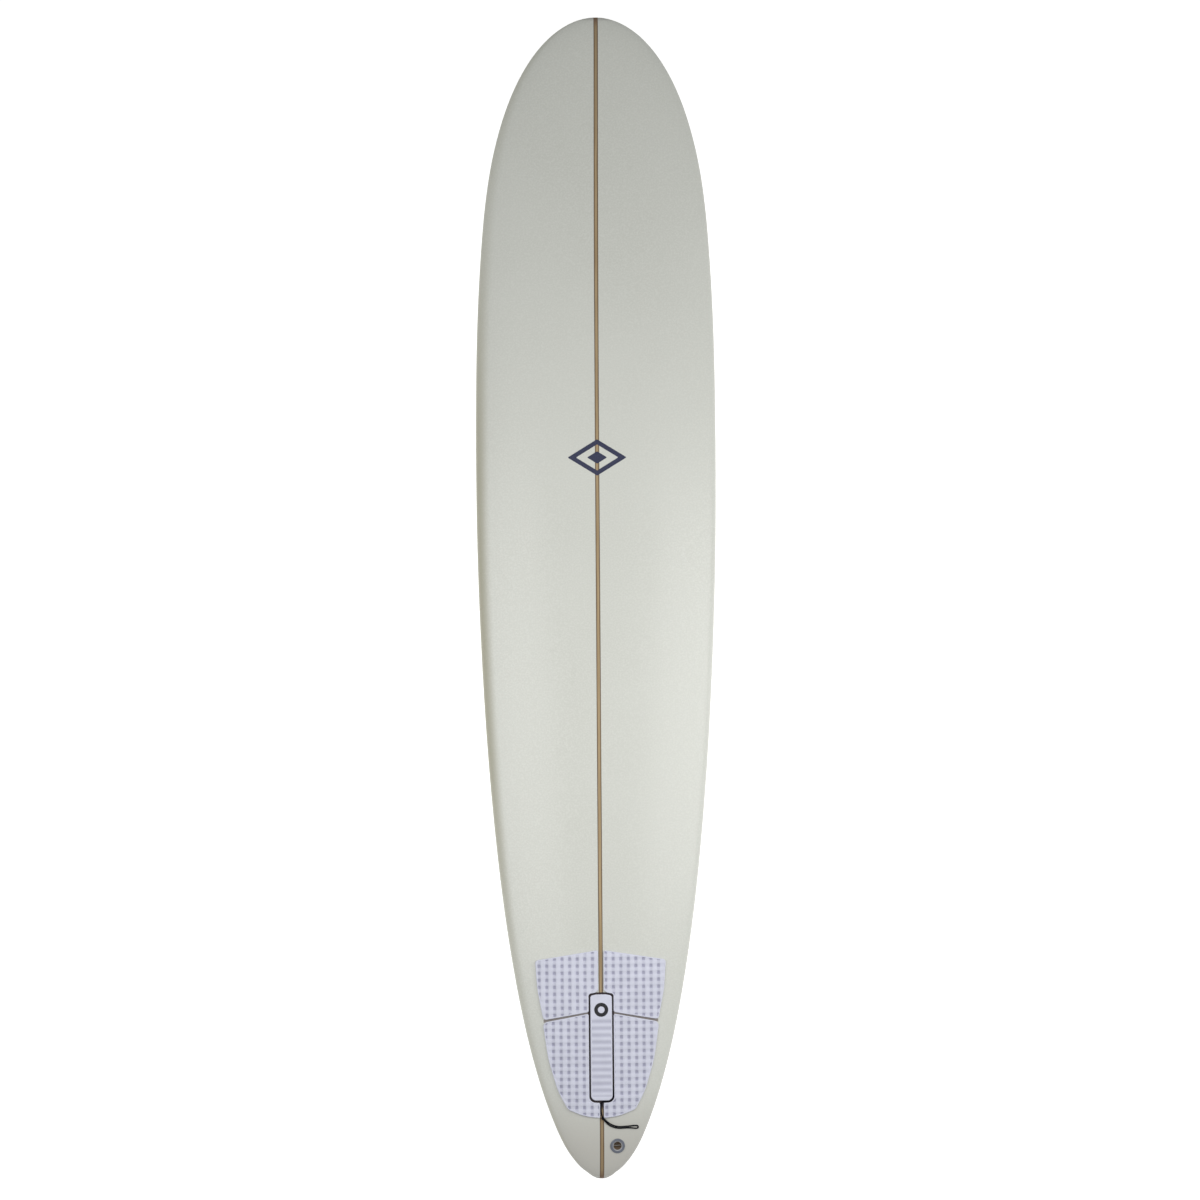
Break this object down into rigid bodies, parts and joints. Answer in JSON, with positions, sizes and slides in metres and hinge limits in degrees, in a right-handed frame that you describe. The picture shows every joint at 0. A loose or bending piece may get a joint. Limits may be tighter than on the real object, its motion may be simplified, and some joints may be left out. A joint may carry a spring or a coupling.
{
  "type": "longboard surfboard",
  "caption": "Longboard surfboard with a wood stringer, a waffle traction pad with a centre bar, a leash plug with a looped leash string, and removable fins.",
  "frame": {"origin": "under the middle of the board, level with the tip of the centre fin", "axes": "+Y towards the nose, +Z out of the deck, +X towards the right-hand rail seen from above with the nose ahead"},
  "size_m": [0.5702, 2.7426, 0.268],
  "materials": {
    "blank_foam": "fine closed-cell foam, matt",
    "stringer_wood": "light wood, satin",
    "stringer_dark_wood": "darker wood, satin",
    "clear_laminate": "clear glass-fibre laminate, gloss",
    "navy_print": "printed film under the gloss",
    "smoked_plastic": "smoked translucent plastic, gloss",
    "stainless": "stainless steel, satin",
    "cord_fabric": "braided polyester cord",
    "pad_foam": "EVA foam, matt, waffle cut",
    "badge_print": "matt inlay",
    "box_plastic": "moulded plastic, matt",
    "fin_glass": "glass-fibre fin, satin",
    "brass": "plain brass"
  },
  "bodies": {
    "board": {"foam_blank_left": "blank_foam", "foam_blank_right": "blank_foam", "stringer_core": "stringer_wood", "stringer_band_left": "stringer_dark_wood", "stringer_band_right": "stringer_dark_wood", "deck_laminate": "clear_laminate", "bottom_laminate": "clear_laminate", "deck_emblem": "navy_print", "deck_emblem_core": "navy_print", "leash_cup": "smoked_plastic", "leash_cup_bar": "stainless", "leash_string": "cord_fabric", "leash_string_knot": "cord_fabric", "pad_front_left": "pad_foam", "pad_front_right": "pad_foam", "pad_rear_left": "pad_foam", "pad_rear_right": "pad_foam", "pad_center_bar": "pad_foam", "pad_badge": "badge_print", "center_fin_box": "box_plastic", "side_fin_box_left": "box_plastic", "side_fin_box_right": "box_plastic"},
    "center_fin_set": {"center_fin": "fin_glass", "center_fin_pin": "brass", "center_fin_plate": "stainless"},
    "center_fin_screw_body": {"center_fin_screw": "stainless"},
    "side_fin_left_body": {"side_fin_left": "fin_glass"},
    "side_fin_right_body": {"side_fin_right": "fin_glass"},
    "side_fin_screw_left_body": {"side_fin_screw_left": "stainless"},
    "side_fin_screw_right_body": {"side_fin_screw_right": "stainless"}
  },
  "joints": [
    {"name": "center_fin_slide", "type": "slide", "parent": "board", "child": "center_fin_set", "axis": [0, 0.9968, -0.0797], "range_m": [-0.04, 0.055]},
    {"name": "center_fin_screw_turn", "type": "hinge", "parent": "center_fin_set", "child": "center_fin_screw_body", "pos_m": [0, -1.09332, 0.16995], "axis": [0, 0.0797, 0.9968], "continuous": true},
    {"name": "side_fin_left_pull_out", "type": "slide", "parent": "board", "child": "side_fin_left_body", "axis": [-0.0916, -0.0813, -0.9925], "range_m": [0, 0.0125]},
    {"name": "side_fin_screw_left_turn", "type": "hinge", "parent": "board", "child": "side_fin_screw_left_body", "pos_m": [-0.14025, -0.94519, 0.15796], "axis": [0.0916, 0.0813, 0.9925], "continuous": true},
    {"name": "side_fin_right_pull_out", "type": "slide", "parent": "board", "child": "side_fin_right_body", "axis": [0.0916, -0.0813, -0.9925], "range_m": [0, 0.0125]},
    {"name": "side_fin_screw_right_turn", "type": "hinge", "parent": "board", "child": "side_fin_screw_right_body", "pos_m": [0.14025, -0.94519, 0.15796], "axis": [-0.0916, 0.0813, 0.9925], "continuous": true}
  ]
}
